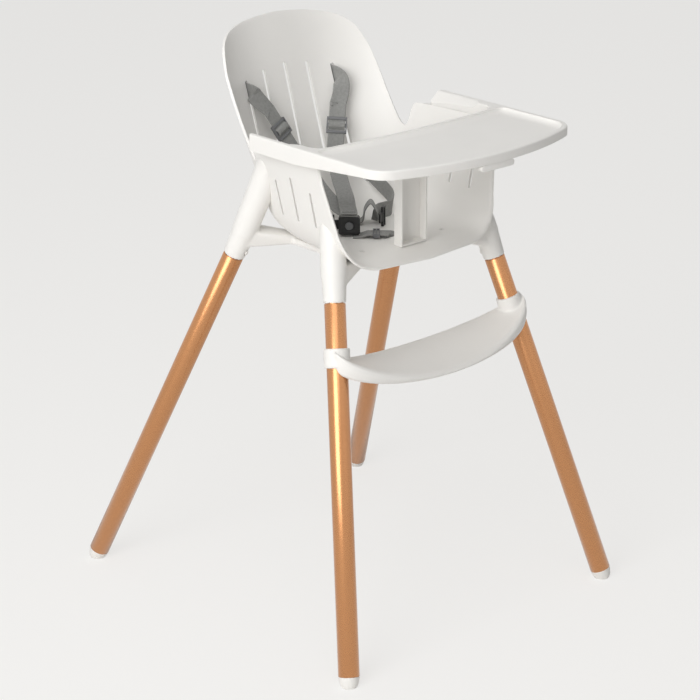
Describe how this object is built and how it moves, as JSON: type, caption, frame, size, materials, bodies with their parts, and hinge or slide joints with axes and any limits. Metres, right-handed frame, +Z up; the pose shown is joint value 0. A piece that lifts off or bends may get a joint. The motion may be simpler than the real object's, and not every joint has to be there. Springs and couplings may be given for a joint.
{
  "type": "baby high chair",
  "caption": "High chair with a moulded bucket seat on splayed tube legs, a slide-on tray with a centre post, a bowed footrest and a webbing harness.",
  "frame": {"origin": "on the floor, midway between the four feet", "axes": "+Z up, -Y towards the front edge of the tray, +X to the seated child's left"},
  "size_m": [0.6214, 0.657, 0.918],
  "materials": {
    "white_plastic": "warm white moulded plastic, satin",
    "copper_tube": "copper-coloured satin coat on tube",
    "webbing": "grey woven webbing",
    "dark_plastic": "dark grey moulded plastic",
    "black_plastic": "near-black moulded plastic",
    "steel": "zinc-plated steel"
  },
  "bodies": {
    "chair": {"seat_shell": "white_plastic", "leg_frame": "white_plastic", "frame_screws": "steel", "leg_front_left": "copper_tube", "leg_front_right": "copper_tube", "leg_rear_left": "copper_tube", "leg_rear_right": "copper_tube", "foot_cap_front_left": "white_plastic", "foot_cap_front_right": "white_plastic", "foot_cap_rear_left": "white_plastic", "foot_cap_rear_right": "white_plastic", "footrest": "white_plastic", "footrest_screws": "steel", "shoulder_strap_left": "webbing", "shoulder_strap_right": "webbing", "waist_strap_left": "webbing", "waist_strap_right": "webbing", "crotch_strap": "webbing", "waist_tongue_left": "black_plastic", "waist_tongue_right": "black_plastic", "buckle_body": "black_plastic", "strap_stops": "dark_plastic"},
    "tray_unit": {"tray": "white_plastic", "tray_post": "white_plastic", "tray_post_screws": "steel", "release_spring": "steel"},
    "release_paddle": {"release_paddle": "white_plastic"},
    "latch_bar_left": {"latch_bar_left": "dark_plastic"},
    "latch_bar_right": {"latch_bar_right": "dark_plastic"},
    "leg_button_front_left": {"leg_button_front_left": "steel"},
    "leg_button_front_right": {"leg_button_front_right": "steel"},
    "leg_button_rear_left": {"leg_button_rear_left": "steel"},
    "leg_button_rear_right": {"leg_button_rear_right": "steel"},
    "buckle_button": {"buckle_button": "dark_plastic"},
    "shoulder_adjuster_left": {"shoulder_adjuster_left": "dark_plastic"},
    "shoulder_adjuster_right": {"shoulder_adjuster_right": "dark_plastic"},
    "crotch_adjuster": {"crotch_adjuster": "dark_plastic"}
  },
  "joints": [
    {"name": "tray_slide", "type": "slide", "parent": "chair", "child": "tray_unit", "axis": [0, -1, 0], "range_m": [0, 0.06]},
    {"name": "paddle_pull", "type": "slide", "parent": "tray_unit", "child": "release_paddle", "axis": [0, -1, 0], "range_m": [0, 0.007], "stiffness_N_per_m": 400, "springref_m": -0.003, "deforming": ["release_spring"]},
    {"name": "latch_left_slide", "type": "slide", "parent": "tray_unit", "child": "latch_bar_left", "axis": [-1, 0, 0], "range_m": [0, 0.004]},
    {"name": "latch_right_slide", "type": "slide", "parent": "tray_unit", "child": "latch_bar_right", "axis": [1, 0, 0], "range_m": [0, 0.004]},
    {"name": "leg_button_front_left_press", "type": "slide", "parent": "chair", "child": "leg_button_front_left", "axis": [-0.5468, -0.767, 0.3358], "range_m": [0, 0.004], "stiffness_N_per_m": 1500, "springref_m": -0.004},
    {"name": "leg_button_front_right_press", "type": "slide", "parent": "chair", "child": "leg_button_front_right", "axis": [0.5468, -0.767, 0.3358], "range_m": [0, 0.004], "stiffness_N_per_m": 1500, "springref_m": -0.004},
    {"name": "leg_button_rear_left_press", "type": "slide", "parent": "chair", "child": "leg_button_rear_left", "axis": [-0.3972, 0.8133, 0.4251], "range_m": [0, 0.004], "stiffness_N_per_m": 1500, "springref_m": -0.004},
    {"name": "leg_button_rear_right_press", "type": "slide", "parent": "chair", "child": "leg_button_rear_right", "axis": [0.3972, 0.8133, 0.4251], "range_m": [0, 0.004], "stiffness_N_per_m": 1500, "springref_m": -0.004},
    {"name": "buckle_press", "type": "slide", "parent": "chair", "child": "buckle_button", "axis": [0.6691, 0.7431, 0], "range_m": [0, 0.002], "stiffness_N_per_m": 1500, "springref_m": -0.003},
    {"name": "adjuster_left_slide", "type": "slide", "parent": "chair", "child": "shoulder_adjuster_left", "axis": [0.4022, -0.3243, -0.8562], "range_m": [-0.018, 0.018]},
    {"name": "adjuster_right_slide", "type": "slide", "parent": "chair", "child": "shoulder_adjuster_right", "axis": [-0.3579, -0.3042, -0.8828], "range_m": [-0.018, 0.018]},
    {"name": "crotch_adjuster_slide", "type": "slide", "parent": "chair", "child": "crotch_adjuster", "axis": [-0.7442, 0.6679, 0], "range_m": [-0.002, 0.002]}
  ],
  "couplings": [
    {"joint": "latch_left_slide", "follows": "paddle_pull", "ratio": 0.57142},
    {"joint": "latch_right_slide", "follows": "paddle_pull", "ratio": 0.57142}
  ]
}
